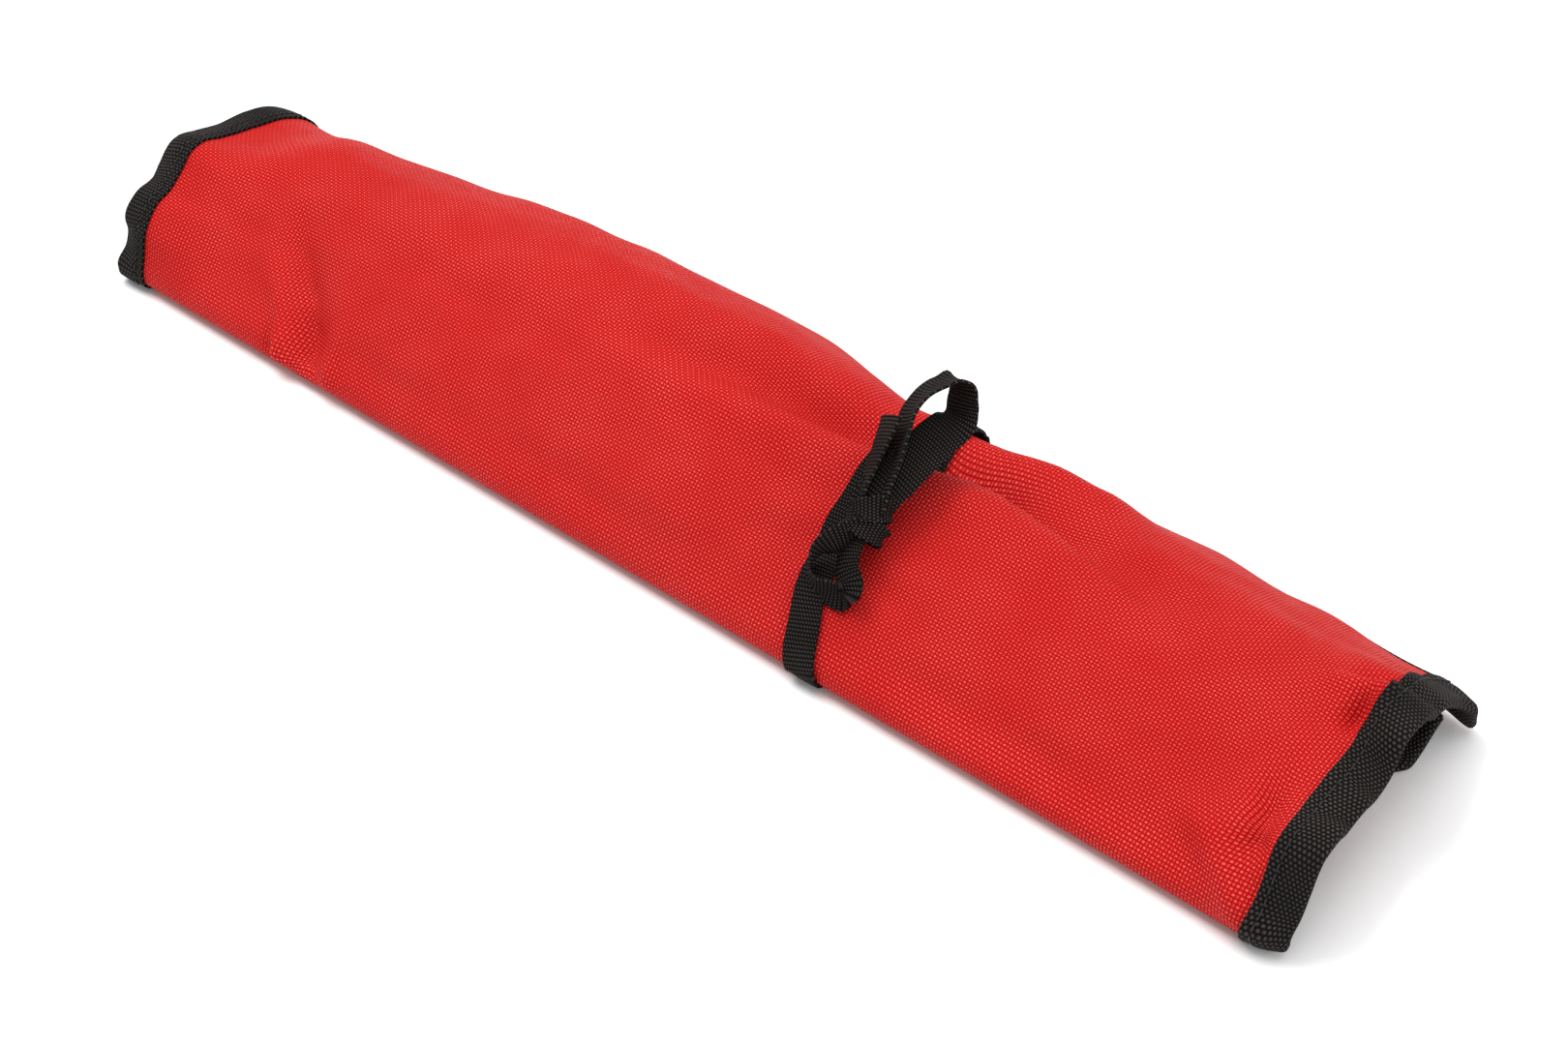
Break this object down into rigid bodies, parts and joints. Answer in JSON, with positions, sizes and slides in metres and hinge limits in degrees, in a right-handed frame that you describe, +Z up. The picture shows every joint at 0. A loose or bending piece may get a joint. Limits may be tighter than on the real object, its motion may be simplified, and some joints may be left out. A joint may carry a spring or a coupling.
{
  "type": "fire blanket",
  "caption": "Glass-fibre fire blanket folded inside a rolled red cloth wrap with black bound edges, tied round with black tape in a bow.",
  "frame": {"origin": "middle of the footprint, on the surface it lies on", "axes": "+X along the roll towards its flatter end, +Y towards the flap's free edge at the back, +Z up"},
  "size_m": [0.4556, 0.1152, 0.0711],
  "materials": {
    "red_cloth": "coated plain-weave polyester, semi-matt",
    "black_binding": "woven ribbed tape, matt",
    "black_tie_tape": "woven ribbed tape, matt",
    "black_thread": "twisted thread, slight sheen",
    "glass_fibre_cloth": "woven glass fibre, matt with a slight sheen",
    "black_pull_tape": "woven webbing, matt"
  },
  "bodies": {
    "wrap": {"wrap_lower_cloth": "red_cloth", "near_binding_lower": "black_binding", "far_binding_lower": "black_binding", "lower_edge_binding": "black_binding", "tie_band_under": "black_tie_tape"},
    "flap": {"wrap_flap_cloth": "red_cloth", "near_binding_flap": "black_binding", "far_binding_flap": "black_binding", "flap_edge_binding": "black_binding", "tie_band_over": "black_tie_tape", "tie_bar_tack": "black_thread", "knot_core": "black_tie_tape", "knot_wrap": "black_tie_tape"},
    "blanket": {"folded_blanket": "glass_fibre_cloth", "pull_tape_front": "black_pull_tape", "pull_tape_back": "black_pull_tape"},
    "big_loop": {"big_loop": "black_tie_tape"},
    "small_loop": {"small_loop": "black_tie_tape"},
    "tail": {"tail": "black_tie_tape"}
  },
  "joints": [
    {"name": "flap_hinge", "type": "hinge", "parent": "wrap", "child": "flap", "pos_m": [0.00278, -0.05725, 0.005], "axis": [1, 0, 0], "range_deg": [0, 110]},
    {"name": "blanket_slide", "type": "slide", "parent": "wrap", "child": "blanket", "axis": [-1, 0, 0], "range_m": [0, 0.42]},
    {"name": "big_loop_swing", "type": "hinge", "parent": "flap", "child": "big_loop", "pos_m": [0.06352, -0.02661, 0.03867], "axis": [1, 0, 0], "range_deg": [-4, 10]},
    {"name": "small_loop_swing", "type": "hinge", "parent": "flap", "child": "small_loop", "pos_m": [0.06352, -0.02661, 0.03867], "axis": [-1, 0, 0], "range_deg": [0, 25]},
    {"name": "tail_swing", "type": "hinge", "parent": "flap", "child": "tail", "pos_m": [0.06352, -0.02661, 0.03867], "axis": [1, 0, 0], "range_deg": [-6, 16]}
  ]
}
